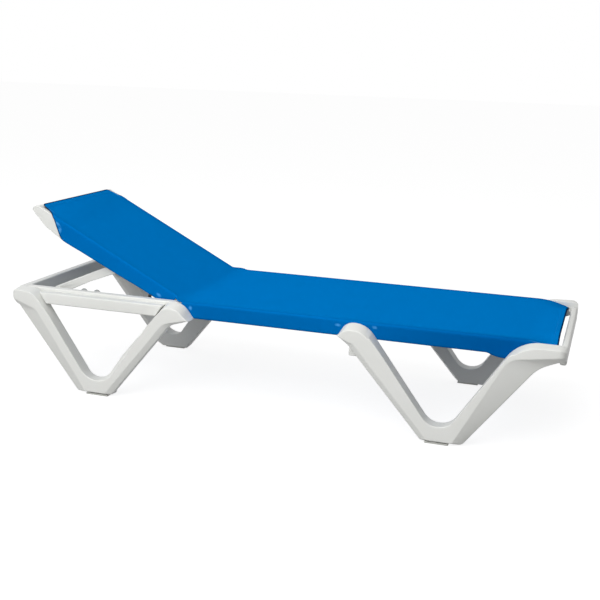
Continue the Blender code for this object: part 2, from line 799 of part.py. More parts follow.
def make_racks():
    """Toothed ledges on the inner faces of the side rails, where the prop bail's bar rests."""
    places = [bail_bar_place - number * rack_pitch for number in range(-rack_notches_inward, rack_notches_outward + 1)]
    margin = rack_notch_half + rack_end_margin
    rack_end = places[0] + margin
    rack_start = places[-1] - margin
    outline = [(rack_end, rack_low), (rack_end, rack_top)]
    for centre in places:
        for step in range(notch_steps + 1):
            turn = pi * step / notch_steps
            outline.append((centre + rack_notch_half * cos(turn), rack_top - rack_notch_depth * sin(turn)))
    outline += [(rack_start, rack_top), (rack_start, rack_low)]
    for side_name, side in sides.items():
        name = "rack_" + side_name
        middle = side * (rail_inner - gap - rack_width / 2)
        rack = plate(name, outline, rack_width, "grey_resin", location=(0, middle, 0))
        outside = side * (rail_inner - gap - rack_tab_thickness / 2)
        for number in range(rack_tabs):
            place = -half_length + rack_tab_reach + number * rack_tab_spacing
            tab = arc((place, rail_top + rack_tab_rise - rack_tab_radius), rack_tab_radius, 0, pi)
            tab += [(place - rack_tab_radius, rack_low + rack_edge), (place + rack_tab_radius, rack_low + rack_edge)]
            combine(rack, plate("%s_tab_%d" % (name, number), tab, rack_tab_thickness, None,
                                location=(0, outside, 0)), "UNION")


def make_hinges():
    """Brackets on the rails' inner faces, each with a small upright stop, and the pins that carry the back."""
    start = hinge_place - bracket_head_reach
    end = hinge_place + bracket_foot_reach
    low = hinge_height - bracket_height / 2
    high = hinge_height + bracket_height / 2
    outline = [(start, low), (end, low), (end, high), (start + bracket_stop_width, high),
               (start + bracket_stop_width, high + bracket_stop_rise), (start, high + bracket_stop_rise)]
    for side_name, side in sides.items():
        middle = side * (rail_inner - gap - bracket_thickness / 2)
        name = "hinge_bracket_" + side_name
        bracket = plate(name, outline, bracket_thickness, "dark_steel", location=(0, middle, 0), edge=bracket_edge)
        combine(bracket, rod(name + "_hole", pin_radius + gap, (hinge_place, side * back_rail_inner, hinge_height),
                             (hinge_place, side * rail_outer, hinge_height), None))
        length = rail_outer - gap - back_rail_inner
        headed_pin("hinge_pin_" + side_name, "dark_steel", (pin_head_radius, pin_head_height, pin_radius, length),
                   (hinge_place, side * back_rail_inner, hinge_height), side)


def sling_section(outside, top, low, hem, sag):
    """Outer line of a sling's cross-section, from one hem over the top to the other."""
    radius = sling_corner
    edge = outside - radius
    half = [(outside - hem, low)]
    half += arc((edge, low + radius), radius, -pi / 2, 0)
    half += arc((edge, top - radius), radius, 0, pi / 2)
    span = outside - sling_thickness - gap - rail_thickness
    middle = []
    for step in range(sag_steps + 1):
        across = span * (1 - 2 * step / sag_steps)
        middle.append((across, top - sag * (1 - (across / span) ** 2)))
    return half + middle + [(-across, height) for across, height in reversed(half)]


def sling(name, rows, parent=None):
    """A folded sheet lofted through rows of (place, section), thickened inwards."""
    shape = bmesh.new()
    rings = [[shape.verts.new((place, across, height)) for across, height in line] for place, line in rows]
    for first, second in zip(rings, rings[1:]):
        for index in range(len(first) - 1):
            shape.faces.new((first[index], second[index], second[index + 1], first[index + 1]))
    shape.normal_update()
    shape.faces.ensure_lookup_table()
    crown = shape.faces[(len(rings[0]) - 1) // 2]
    if crown.normal.z < 0:
        bmesh.ops.reverse_faces(shape, faces=shape.faces)
    mesh = bpy.data.meshes.new(name)
    shape.to_mesh(mesh)
    shape.free()
    item = add(name, mesh, "blue_sling", parent)
    thickening = item.modifiers.new("cloth_thickness", "SOLIDIFY")
    thickening.thickness = sling_thickness
    thickening.offset = -1
    thickening.use_even_offset = True
    return item


def make_seat_sling():
    section = sling_section(sling_outer, seat_top, rail_low - gap - sling_thickness, sling_hem, sling_sag)
    sling("sling_seat", [(seat_start, section), (seat_end, section)])


def empty(name, location, turn, parent=None):
    item = bpy.data.objects.new(name, None)
    item.location = location
    item.rotation_euler = (0, turn, 0)
    item.parent = parent
    parts.objects.link(item)
    return item


def make_back():
    """The back in its own frame: -X runs up the back from the hinge, +Z is its upper face's normal."""
    hinge = empty("back_hinge", (hinge_place, 0, hinge_height), back_tilt)
    nose_half = (back_rail_top - back_rail_low) / 2
    nose_centre = (back_rail_top + back_rail_low) / 2
    deep_low = back_deep_low + sling_thickness + gap
    outline = [(-(back_deep_end - gap), back_rail_top)]
    outline += list(reversed(arc((0, nose_centre), nose_half, -pi / 2, pi / 2)))
    outline += [(-back_deep_start, back_rail_low), (-(back_deep_end - gap), deep_low)]
    pivot = (-bail_pivot_along, -bail_pivot_drop)
    for side_name, side in sides.items():
        middle = side * (back_rail_outer - back_rail_thickness / 2)
        name = "back_rail_" + side_name
        rail = plate(name, outline, back_rail_thickness, "white_resin", hinge, (0, middle, 0), edge=back_rail_edge)
        inside = side * (back_rail_inner - overrun)
        outside = side * (back_rail_outer + overrun)
        combine(rail, rod(name + "_pin_hole", pin_radius + gap, (0, inside, 0), (0, outside, 0), None, hinge))
        combine(rail, rod(name + "_bail_hole", bail_pin_radius + gap, (pivot[0], inside, pivot[1]),
                          (pivot[0], outside, pivot[1]), None, hinge))
        across = side * (back_rail_inner + spline_inset)
        height = back_rail_low + spline_sink
        combine(rail, rod(name + "_groove", spline_radius + gap, (-back_spline_end - gap, across, height),
                          (-back_spline_start + gap, across, height), None, hinge, rod_sides, "X"))
        rod("back_spline_" + side_name, spline_radius, (-back_spline_end, across, height),
            (-back_spline_start, across, height), "spline_resin", hinge, rod_sides, "X")
    inner = back_rail_inner - gap
    box("back_bar", (-back_bar_place - back_bar_width / 2, -inner, back_bar_normal - back_bar_height / 2),
        (-back_bar_place + back_bar_width / 2, inner, back_bar_normal + back_bar_height / 2), "white_resin", hinge,
        edge=brace_edge)
    make_head_rail(hinge, deep_low)
    make_back_sling(hinge)
    return hinge


def head_points(shares):
    """Side view points of the head part in the back's own frame, from shares of its length and height."""
    found = []
    for inward, rise in shares:
        height = rise * back_top if rise > 0 else -rise * back_deep_low
        found.append((-(back_length - inward * head_part), height))
    return found


def make_head_rail(hinge, deep_low):
    """The U-shaped upper end of the back: a tapering side view shared with a plan that has round corners."""
    side_view = [(-back_deep_end, back_rail_top)] + head_points(head_tip_shares)
    side_view.append((-back_deep_end, deep_low))
    head = plate("back_head_rail", list(reversed(side_view)), 2 * back_rail_outer, "white_resin", hinge,
                 edge=head_rail_edge)
    corner = head_rail_corner
    tip = -back_length
    plan = [(-back_deep_end + overrun, -back_rail_outer)]
    plan += list(reversed(arc((tip + corner, -back_rail_outer + corner), corner, pi, 3 * pi / 2)))
    plan += list(reversed(arc((tip + corner, back_rail_outer - corner), corner, pi / 2, pi)))
    bar = tip + head_rail_width
    plan += [(-back_deep_end + overrun, back_rail_outer), (-back_deep_end + overrun, back_rail_inner),
             (bar, back_rail_inner), (bar, -back_rail_inner), (-back_deep_end + overrun, -back_rail_inner)]
    keep = plate("back_head_rail_plan", plan, 2 * (overrun - back_deep_low), None, hinge, rotation=(0, 0, 0))
    combine(head, keep, "INTERSECT")


def make_back_sling(hinge):
    rows = []
    for along, low, sag_share in ((back_sling_start, back_low, 1), (back_deep_start, back_low, 1),
                                  (back_deep_end, back_deep_low, half_share), (back_taut_start, back_deep_low, 0),
                                  (back_sling_end, back_deep_low, 0)):
        section = sling_section(back_half_width, back_top, low, back_hem, back_sling_sag * sag_share)
        rows.append((-along, section))
    cloth = sling("sling_back", rows, hinge)
    outline = head_points(sling_cut_shares)
    beyond = -back_length - overrun
    outline += [(beyond, outline[-1][1]), (beyond, outline[0][1])]
    depth = back_rail_thickness + sling_thickness + gap + overrun
    for side_name, side in sides.items():
        middle = side * (back_rail_inner + depth / 2)
        combine(cloth, plate("sling_back_cut_" + side_name, outline, depth, None, hinge, (0, middle, 0)))


def make_bail(hinge):
    """The prop bail in its own frame: -X runs from its pivot pins to the bar."""
    swing = empty("bail_pivot", (-bail_pivot_along, 0, -bail_pivot_drop), -bail_fold, hinge)
    outline = arc((0, 0), bail_arm_half, -pi / 2, pi / 2)
    outline += arc((-bail_reach, 0), bail_foot_half, pi / 2, 3 * pi / 2)
    outline.append((-bail_reach / 2, -bail_arm_half + bail_bow))
    for side_name, side in sides.items():
        middle = side * (bail_arm_outer - bail_arm_thickness / 2)
        name = "bail_arm_" + side_name
        arm = plate(name, outline, bail_arm_thickness, "white_resin", swing, (0, middle, 0), edge=bail_edge)
        inside = side * (bail_arm_inner - overrun)
        outside = side * (bail_arm_outer + overrun)
        combine(arm, rod(name + "_pin_hole", bail_pin_radius + gap, (0, inside, 0), (0, outside, 0), None, swing))
        combine(arm, rod(name + "_bar_hole", bail_bar_radius + gap, (-bail_reach, inside, 0),
                         (-bail_reach, outside, 0), None, swing))
        length = back_rail_outer - gap - bail_arm_inner
        headed_pin("bail_pin_" + side_name, "dark_steel", (pin_head_radius, pin_head_height, bail_pin_radius, length),
                   (-bail_pivot_along, side * bail_arm_inner, -bail_pivot_drop), side, hinge)
    rod("bail_bar", bail_bar_radius, (-bail_reach, -bail_bar_half_length, 0), (-bail_reach, bail_bar_half_length, 0),
        "white_resin", swing)


def main():
    clear_scene()
    make_materials()
    make_legs()
    make_side_rails()
    make_rail_covers()
    make_bolts()
    make_cross_members()
    make_racks()
    make_hinges()
    make_seat_sling()
    make_bail(make_back())


main()
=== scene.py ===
# %% [markdown]
# # A resin and sling sun lounger
# This lesson dresses a finished mechanical model of a poolside lounger. The white frame is four moulded
# legs, two long rails and a hinged back. A single blue sling is pulled over the rails.
# The frame's solids already have their true shapes, so they only need surfaces. The sling is cloth, so it
# is modelled again here as one continuous sheet.

# %% Load the frame
import json
from collections import namedtuple
from math import cos, exp, pi, radians, sin, sqrt

import bmesh
import bpy
from mathutils import Matrix, Vector


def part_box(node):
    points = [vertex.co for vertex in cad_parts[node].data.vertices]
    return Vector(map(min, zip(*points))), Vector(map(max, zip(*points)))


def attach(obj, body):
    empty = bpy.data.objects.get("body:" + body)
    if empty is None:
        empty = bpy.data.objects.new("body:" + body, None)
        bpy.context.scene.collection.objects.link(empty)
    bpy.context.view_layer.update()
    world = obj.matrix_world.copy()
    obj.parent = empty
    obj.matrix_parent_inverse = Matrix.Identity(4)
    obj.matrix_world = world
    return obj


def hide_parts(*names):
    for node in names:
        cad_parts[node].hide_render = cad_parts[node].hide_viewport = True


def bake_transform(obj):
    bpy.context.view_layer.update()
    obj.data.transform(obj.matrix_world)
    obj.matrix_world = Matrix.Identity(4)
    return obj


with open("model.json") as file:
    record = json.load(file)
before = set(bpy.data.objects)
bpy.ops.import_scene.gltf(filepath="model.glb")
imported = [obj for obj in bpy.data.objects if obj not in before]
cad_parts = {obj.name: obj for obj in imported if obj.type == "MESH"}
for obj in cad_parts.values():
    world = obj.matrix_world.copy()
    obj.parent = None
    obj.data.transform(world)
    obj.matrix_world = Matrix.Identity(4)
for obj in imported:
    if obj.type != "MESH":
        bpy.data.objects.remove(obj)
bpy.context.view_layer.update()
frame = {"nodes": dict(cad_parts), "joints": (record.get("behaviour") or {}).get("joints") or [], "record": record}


# %% [markdown]
# ## Camera
# The lounger was photographed from its near side, about level with its foot end, from a height of a
# little over three times the seat's. The lens is a short telephoto, so the far side is only slightly
# smaller. The camera's place, its turn about the vertical, its downward tilt and a small roll are all
# that the picture needs.

# %% Camera
camera_place = (1.0783, -3.3471, 1.2018)
camera_turn = radians(17.74)
camera_tilt = radians(13.73)
camera_roll = radians(1.71)

lens = bpy.data.cameras.new("camera")
lens.sensor_width = 36.0
lens.lens = 59.43
lens.clip_end = 60.0
camera = bpy.data.objects.new("camera", lens)
bpy.context.scene.collection.objects.link(camera)
camera.matrix_world = (Matrix.Translation(camera_place)
                       @ Matrix.Rotation(camera_turn, 4, "Z")
                       @ Matrix.Rotation(pi / 2 - camera_tilt, 4, "X")
                       @ Matrix.Rotation(camera_roll, 4, "Z"))
bpy.context.scene.camera = camera
print("camera at", camera_place, "lens", lens.lens, "mm")

# %% [markdown]
# ## Helpers for materials
# Colours are written as sRGB hex values, as a paint card gives them, and one function turns them into the
# linear values that the shader works with. Others dim a colour, turn a pattern's real size into its
# scale, and start a material. One adds a single node, sets its values and wires its inputs, so each
# material below reads as a short list.

# %% Colour, scale and node helpers
def colour(hex_value):
    """An sRGB hex value as linear RGBA."""
    channels = [int(hex_value[index:index + 2], 16) / 255 for index in (1, 3, 5)]
    linear = [c / 12.92 if c <= 0.04045 else ((c + 0.055) / 1.055) ** 2.4 for c in channels]
    return (*linear, 1.0)


def dimmed(shade, shares):
    """A linear colour with each channel brought down by its own share."""
    return tuple(c * (1 - share) for c, share in zip(shade[:3], shares)) + (1.0,)


def per_metre(size_mm):
    """The scale of a texture whose cells are this many millimetres wide."""
    return 1000 / size_mm


def add_node(tree, kind, settings=None, inputs=None):
    """One node with its settings, and its inputs set to values or linked from other nodes' outputs."""
    node = tree.nodes.new(kind)
    for key, value in (settings or {}).items():
        setattr(node, key, value)
    for key, value in (inputs or {}).items():
        if isinstance(value, bpy.types.NodeSocket):
            tree.links.new(value, node.inputs[key])
        else:
            node.inputs[key].default_value = value
    return node


def new_material(name):
    """An empty material with a Principled shader wired to its output."""
    made = bpy.data.materials.new(name)
    made.use_nodes = True
    return made, made.node_tree, made.node_tree.nodes["Principled BSDF"]


print("white resin in linear values:", [round(c, 3) for c in colour("#E4E5E2")])

# %% [markdown]
# ## Moulded resin
# The legs and rails are injection-moulded polypropylene with a mineral filler. The mould's steel was
# lightly spark-textured, which gives a satin skin with soft, slightly broken highlights. The colour is a
# neutral white with a trace of grey-green. Thick sections cool unevenly, so wide faces have a very faint
# waviness. Outdoor use leaves a little dust, seen as a slow change of tone. Dust takes most from the
# blue, so it looks a little warm.
# The spark texture is about half a millimetre, too fine for this picture, so it is drawn at 1.2 mm.

# %% Resin materials
grain_mm = 1.2
grain_depth = 0.00006
wave_mm = 71.4
wave_depth = 0.0012
dust_patch_mm = 143
dust_tint = (1.0, 1.05, 1.35)


def resin(name, hex_value, roughness, dust=0.05):
    """Moulded polypropylene: even colour, faint dust, a fine spark-texture bump and a slow waviness."""
    made, tree, shader = new_material(name)
    place = add_node(tree, "ShaderNodeTexCoord").outputs["Object"]
    clean = colour(hex_value)
    dusty = dimmed(clean, [dust * share for share in dust_tint])
    clouds = add_node(tree, "ShaderNodeTexNoise",
                      inputs={"Vector": place, "Scale": per_metre(dust_patch_mm), "Detail": 5.0})
    tone = add_node(tree, "ShaderNodeMix", {"data_type": "RGBA"},
                    {"Factor": clouds.outputs["Fac"], "A": clean, "B": dusty})
    grain = add_node(tree, "ShaderNodeTexNoise",
                     inputs={"Vector": place, "Scale": per_metre(grain_mm), "Detail": 2.0, "Roughness": 0.6})
    gloss = add_node(tree, "ShaderNodeMapRange",
                     inputs={"Value": grain.outputs["Fac"],
                             "To Min": roughness - 0.06, "To Max": roughness + 0.08})
    waves = add_node(tree, "ShaderNodeTexNoise",
                     inputs={"Vector": place, "Scale": per_metre(wave_mm), "Detail": 1.0})
    slow = add_node(tree, "ShaderNodeBump",
                    inputs={"Height": waves.outputs["Fac"], "Distance": wave_depth, "Strength": 0.25})
    fine = add_node(tree, "ShaderNodeBump",
                    inputs={"Height": grain.outputs["Fac"], "Distance": grain_depth, "Strength": 0.6,
                            "Normal": slow.outputs["Normal"]})
    tree.links.new(tone.outputs["Result"], shader.inputs["Base Color"])
    tree.links.new(gloss.outputs["Result"], shader.inputs["Roughness"])
    tree.links.new(fine.outputs["Normal"], shader.inputs["Normal"])
    shader.inputs["IOR"].default_value = 1.49
    return made


white_resin = resin("moulded_polypropylene_white", "#E4E5E2", 0.40)
grey_resin = resin("moulded_polypropylene_grey", "#A5A8A8", 0.46)
glide_resin = resin("soft_moulded_glide", "#C9CAC6", 0.55, dust=0.12)
rod_resin = resin("extruded_rod_white", "#D5D6D2", 0.42)
print("resins:", white_resin.name, grey_resin.name, glide_resin.name, rod_resin.name)

# %% [markdown]
# ## Metal hardware
# The hinge pins and brackets are steel with a black electro-coated finish, and the bolts are plain
# stainless steel, cold headed and left bright. Both are small, so a little roughness variation from
# handling, in marks about 3 mm wide, is all that shows.

# %% Metal materials
handling_mark_mm = 3.125


def steel(name, hex_value, roughness, metallic):
    """Small steel hardware with handling marks in its gloss."""
    made, tree, shader = new_material(name)
    place = add_node(tree, "ShaderNodeTexCoord").outputs["Object"]
    marks = add_node(tree, "ShaderNodeTexNoise",
                     inputs={"Vector": place, "Scale": per_metre(handling_mark_mm), "Detail": 4.0})
    gloss = add_node(tree, "ShaderNodeMapRange",
                     inputs={"Value": marks.outputs["Fac"],
                             "To Min": roughness - 0.1, "To Max": roughness + 0.12})
    tree.links.new(gloss.outputs["Result"], shader.inputs["Roughness"])
    shader.inputs["Base Color"].default_value = colour(hex_value)
    shader.inputs["Metallic"].default_value = metallic
    return made


black_steel = steel("electro_coated_steel", "#1B1C1F", 0.42, 0.0)
stainless = steel("stainless_steel_bolt", "#C6C8CA", 0.28, 1.0)
print("metals:", black_steel.name, stainless.name)

# %% [markdown]
# ## Surfaces on the frame's solids
# Each solid arrives as loose triangles. A Weld modifier joins them again, and a Weighted Normal modifier
# then lets the wide faces keep their flat shading while the small rounded edges catch the light softly.
# The sling's two solids get no surface, because the cloth made below takes their place.

# %% Dress the frame
finish_of_slot = {"white_resin": white_resin, "grey_resin": grey_resin, "glide_resin": glide_resin,
                  "dark_steel": black_steel, "bolt_steel": stainless, "spline_resin": rod_resin}
slot_of_node = {entry["node"]: entry["material_slot"] for entry in frame["record"]["subparts"]}
weld_distance = 0.00005
flat_face_weight = 80


def dress(solid, finish):
    """Give one solid its surface and smooth shading."""
    solid.data.materials.clear()
    solid.data.materials.append(finish)
    solid.data.shade_smooth()
    join = solid.modifiers.new("join_triangles", "WELD")
    join.merge_threshold = weld_distance
    shading = solid.modifiers.new("flat_faces_round_edges", "WEIGHTED_NORMAL")
    shading.weight = flat_face_weight


hard_nodes = [name for name in frame["nodes"] if slot_of_node[name] in finish_of_slot]
for name in hard_nodes:
    dress(frame["nodes"][name], finish_of_slot[slot_of_node[name]])
print("dressed", len(hard_nodes), "solids")

# %% [markdown]
# ## The sling's path
# The sling is one length of coated-yarn mesh. It runs flat from the foot end to the hinge, bends upwards
# there in a soft curve, and climbs the back to its head end. Seen from the side that is two straight runs
# with an arc between them. A function gives, for each distance along the cloth, the point it passes, the
# direction it runs in and the direction its upper face looks in. Two more turn a place on the seat or on
# the back into such a distance. The seat's level, its foot edge and the hinge's place come from the
# frame.

# %% Side view of the sling
seat_low, seat_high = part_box("sling_seat")
seat_top = round(seat_high.z, 4)
foot_edge = round(seat_high.x, 4)
recline = next(joint for joint in frame["joints"] if joint["name"] == "back_recline")
hinge = Vector(recline["pos_m"])
back_angle = radians(27.0)
back_lift = 0.024
back_length = 0.648
fold_radius = 0.150

up_the_back = Vector((-cos(back_angle), 0.0, sin(back_angle)))
back_normal = Vector((sin(back_angle), 0.0, cos(back_angle)))
reach_to_fold = (seat_top - hinge.z - back_lift * back_normal.z) / up_the_back.z
fold_corner = hinge + up_the_back * reach_to_fold + back_normal * back_lift
fold_reach = fold_radius * (1 - cos(back_angle)) / sin(back_angle)
fold_centre = Vector((fold_corner.x + fold_reach, 0, seat_top + fold_radius))
seat_run = foot_edge - fold_corner.x - fold_reach
fold_run = fold_radius * back_angle
back_run = back_length - reach_to_fold - fold_reach
sling_length = seat_run + fold_run + back_run


def path(distance):
    """Point, direction and upward normal of the cloth's upper face, at a distance from its foot edge."""
    if distance <= seat_run:
        return Vector((foot_edge - distance, 0, seat_top)), Vector((-1, 0, 0)), Vector((0, 0, 1))
    turn = min((distance - seat_run) / fold_radius, back_angle)
    point = fold_centre + Vector((-sin(turn), 0, -cos(turn))) * fold_radius
    run = Vector((-cos(turn), 0, sin(turn)))
    normal = Vector((sin(turn), 0, cos(turn)))
    beyond = max(distance - seat_run - fold_run, 0.0)
    return point + run * beyond, run, normal


def seat_distance(x):
    """Distance along the cloth of a place on the seat, given by its x."""
    return foot_edge - x


def back_distance(along):
    """Distance along the cloth of a place on the back, counted up the back from the hinge."""
    return seat_run + fold_run + along - reach_to_fold - fold_reach


print("sling length %.3f m, fold from %.3f m" % (sling_length, seat_run))

# %% [markdown]
# ## The sling's cross-section
# Across its width the cloth lies flat, rolls over each rail with a small radius, drops down the rail's
# outer face, rolls under it and ends in a hem that a rod locks into the rail. The seat's rails are further
# apart than the back's, so the cloth is cut narrower from the hinge upwards. Beside the hinge it has no
# hem. Only a short skirt hangs there, which lies on top of the side rail and then drops a little inside
# it.
# Cloth that is pulled over a frame is never quite straight. The middle hangs a few millimetres lower than
# the edges, the flaps swell into a lobe before the front legs' arms, and at the foot end the rails fall
# away, so the corners of the cloth are drawn down over them.

# %% Widths and depths of the cross-section
seat_half_width = round(seat_high.y, 4)
back_half_width = round(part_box("sling_back")[1].y, 4)
rail_depth = round(seat_high.z - seat_low.z, 4)
rail_width = round(seat_half_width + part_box("side_rail_near")[1].y, 4)
hem_width = 0.0205
seat_flap = 0.0555
back_flap = 0.056
seat_sag = 0.009
back_sag = 0.007

# The radius of the rolled edge, and the most that it takes of a flap too shallow for it.
edge_radius = 0.007
roll_share = 0.45
print("half width %.4f m at the seat, %.4f m at the back" % (seat_half_width, back_half_width))

# %% Where the cross-section changes
# Beside the hinge: the seat's flap ends, the cloth narrows, and the back's flap begins.
seat_flap_end = seat_distance(-0.326)
narrowing_start = seat_flap_end + 0.008
narrowing_end = back_distance(0.043)
narrowing_zone = narrowing_end - narrowing_start
skirt_start = narrowing_start + narrowing_zone * 0.68
skirt_full = narrowing_start + narrowing_zone * 0.78
flap_return = narrowing_start + narrowing_zone * 0.86
skirt_drop = 0.007
least_skirt = 0.004
skirt_hem_level = 0.3675

# Up the back the flap grows deeper: how far up the back, and how deep.
back_flap_marks = ((0.17, 0.056), (0.25, 0.0595), (0.34, 0.0618),
                   (0.43, 0.064), (0.49, 0.067), (0.70, 0.067))

# The lobe before the front legs' arms, and the corners that are drawn down at the foot end.
lobe_place = seat_distance(0.785)
lobe_length = 0.055
lobe_depth = 0.013
corner_fall = 0.030
corner_run = 0.124
corner_start = 0.1143
corner_inner = 0.165
corner_outer = 0.285

# The sag grows in from the foot edge and fades again towards the head rail.
sag_run = 0.10
sag_fades_from = back_distance(0.50)
sag_ends = back_distance(0.61)
print("the cloth narrows from %.3f m to %.3f m along it" % (narrowing_start, narrowing_end))

# %% Soft steps and the falling corners
def smooth(low, high, value):
    """A soft step from 0 at low to 1 at high."""
    share = min(max((value - low) / (high - low), 0.0), 1.0)
    return share * share * (3 - 2 * share)


def between(marks, place):
    """A value read from a short list of (place, value) marks, in a straight line between two of them."""
    if place <= marks[0][0]:
        return marks[0][1]
    for (low, start), (high, stop) in zip(marks, marks[1:]):
        if place <= high:
            return start + (stop - start) * (place - low) / (high - low)
    return marks[-1][1]


def rail_fall(distance):
    """How far the rails' tops have fallen at a distance from the cloth's foot edge."""
    return corner_fall * (max(corner_start - distance, 0.0) / corner_run) ** 2


def foot_drop(distance, sideways):
    """How far the cloth is drawn down over the falling ends of the rails."""
    return rail_fall(distance) * smooth(corner_inner, corner_outer, abs(sideways))


print("the rails' tops fall %.1f mm at the foot edge" % (1000 * rail_fall(0.0)))

# %% Cross-section of the sling
Section = namedtuple("Section", "half_width flap hem_depth sag radius")


def section(distance):
    """The sizes of the cloth's cross-section at a distance along it."""
    narrowed = smooth(narrowing_start, narrowing_end, distance)
    half_width = seat_half_width + (back_half_width - seat_half_width) * narrowed
    hem_depth = rail_depth + (back_flap - rail_depth) * narrowed
    if distance < seat_flap_end:
        lobe = lobe_depth * max(0.0, 1 - ((distance - lobe_place) / lobe_length) ** 2)
        flap = seat_flap + lobe - rail_fall(distance)
        hem_depth -= rail_fall(distance)
    elif distance < flap_return:
        skirt = max(path(distance)[0].z - skirt_hem_level, least_skirt)
        flap = skirt + skirt_drop * smooth(skirt_start, skirt_full, distance)
    else:
        flap = hem_depth + (between(back_flap_marks, distance - back_distance(0.0)) - back_flap)
    sag = seat_sag * smooth(0.0, sag_run, distance) + (back_sag - seat_sag) * narrowed
    sag *= 1 - smooth(sag_fades_from, sag_ends, distance)
    return Section(half_width, flap, hem_depth, sag, min(edge_radius, flap * roll_share))


def section_point(sizes, across):
    """Sideways and downward place of the cloth's upper face for an arc length from the middle."""
    side = 1 if across >= 0 else -1
    length = abs(across)
    radius = sizes.radius
    flat = sizes.half_width - radius
    quarter = radius * pi / 2
    drop = sizes.flap - 2 * radius
    if length <= flat:
        span = sizes.half_width - rail_width
        return side * length, -sizes.sag * max(0.0, 1 - (length / span) ** 2)
    length -= flat
    if length <= quarter:
        turn = length / radius
        return side * (flat + radius * sin(turn)), -radius * (1 - cos(turn))
    length -= quarter
    if length <= drop:
        return side * sizes.half_width, -radius - length
    length -= drop
    if length <= quarter:
        turn = length / radius
        return side * (flat + radius * cos(turn)), -sizes.flap + radius * (1 - sin(turn))
    length -= quarter
    rise = (sizes.flap - sizes.hem_depth) * length / (hem_width - radius)
    return side * (flat - length), -sizes.flap + rise


def half_cut(half_width, flap):
    """Arc length of the cloth from its middle to its hem."""
    return half_width - edge_radius + pi * edge_radius + flap - 2 * edge_radius + hem_width - edge_radius


print("cloth is cut %.3f m wide at the seat, %.3f m at the back"
      % (2 * half_cut(seat_half_width, seat_flap), 2 * half_cut(back_half_width, back_flap)))

# %% [markdown]
# ## The cut at the head
# Towards the head the sling is cut in a long S. The cut leaves the head edge a little in from the side,
# crosses the rolled edge, and runs down and forward across the flap to the hem. It leaves the white
# corners of the head rail bare. The curve is given at a dozen places, each as a distance across the
# cloth and a distance up the back.

# %% Head cut
head_marks = ((0.232, 0.6480), (0.241, 0.6400), (0.2445, 0.6270), (0.2530, 0.6050), (0.2620, 0.5920),
              (0.2730, 0.5790), (0.2786, 0.5700), (0.2980, 0.5500), (0.3157, 0.5300), (0.3280, 0.5150),
              (0.3330, 0.5010), (0.3450, 0.4930))


def head_cut(across):
    """How far up the back the cloth reaches at an arc length from its middle."""
    return between(head_marks, abs(across))


print("the cut runs from %.3f m to %.3f m up the back" % (head_marks[0][1], head_marks[-1][1]))

# %% [markdown]
# ## Puckers
# Where the flaps end against the legs' knobs and at the head cut, the tension turns the corner and the
# cloth gathers in short ridges, about a centimetre long and a millimetre high. Longer and finer ones run
# along the rolled edge at the foot end's corners and at the head. Each ridge is a small swelling that
# dies away smoothly on all sides. A vertex attribute remembers how strongly the cloth is puckered there,
# so that the material can paint a highlight, a paler blue, on the ridge.

# %% Puckers
# Each ridge has a place along the cloth and an arc length from its middle, then a length, width and rise.
pucker_marks = ((seat_distance(0.2385), 0.3200, 0.011, 0.0050, 0.0012),
                (seat_distance(0.3630), 0.3150, 0.009, 0.0050, 0.0012),
                (seat_distance(-0.292), 0.3190, 0.007, 0.0080, 0.0010),
                (back_distance(0.551), 0.2860, 0.013, 0.0060, 0.0014),
                (back_distance(0.532), 0.3030, 0.007, 0.0120, 0.0010),
                (back_distance(0.094), 0.3020, 0.011, 0.0060, 0.0012),
                (back_distance(0.606), 0.2450, 0.020, 0.0035, 0.0006),
                (0.052, 0.2960, 0.040, 0.0035, 0.0008))


def pucker(distance, across):
    """Height of the creases at a place on the cloth, and how strong their painted highlight is, the same on both
    sides.
    """
    height = 0.0
    strength = 0.0
    for along, sideways, length, width, rise in pucker_marks:
        away = ((distance - along) / length) ** 2 + ((abs(across) - sideways) / width) ** 2
        share = exp(-away)
        height += rise * share
        strength = max(strength, share)
    return height, strength


print("puckers on each side:", len(pucker_marks))

# %% [markdown]
# ## Hems and painted shade on the flaps
# At both ends the cloth is folded back on itself and sewn, so the hem stands a little proud. Round the
# rails the cloth is pulled tight, and the flaps are given painted shade, a deeper blue, which is
# strongest towards the foot end.

# %% Hems and painted flap shade
hem_fold = 0.022
hem_rise = 0.0009
hem_step_start = hem_fold - 0.001
hem_step_end = hem_fold + 0.003

# Places along the cloth, and how strong the painted shade on the flaps is there.
flap_shade_marks = ((seat_distance(0.80), 1.0), (seat_distance(0.50), 0.75), (seat_distance(0.20), 0.50),
                (seat_distance(-0.25), 0.60), (back_distance(0.093), 0.48))
flap_shade_inner = 0.262
flap_shade_outer = 0.318


def hem_height(to_edge):
    """How much the folded hem stands proud at a distance from the cut edge."""
    return hem_rise * (1 - smooth(hem_step_start, hem_step_end, to_edge))


def painted_flap_shade(distance, across):
    """0 where the flap has no painted shade, 1 where it has the most."""
    narrower = seat_half_width - section(distance).half_width
    return between(flap_shade_marks, distance) * smooth(flap_shade_inner, flap_shade_outer, abs(across) + narrower)


print("hems are folded", hem_fold, "m deep")

# %% [markdown]
# ## A grid for the cloth
# The mesh starts as a flat grid. Its rows are spaced more closely at the hinge, at the foot end and at the
# head, and its columns at the rolled edges. Towards the head the rows are drawn in, so that the last one
# follows the cut.

# %% Rows and columns of the grid
head_taper_start = back_distance(0.40)

# Where each stretch of rows ends, and how many rows it has.
row_stops = ((0.12, 24), (0.72, 80), (seat_flap_end - 0.05, 56), (seat_flap_end, 12), (flap_return, 24),
             (narrowing_end, 6), (head_taper_start, 44), (sling_length, 52))

# How many columns each part of the cross-section has on one side.
column_steps = {"flat": 30, "roll": 6, "drop": 9, "under": 4, "hem": 3}
edge_crowding = 1.7


def spaced(start, stop, steps):
    """Evenly spaced places after start, up to and including stop."""
    return [start + (stop - start) * step / steps for step in range(1, steps)] + [stop]


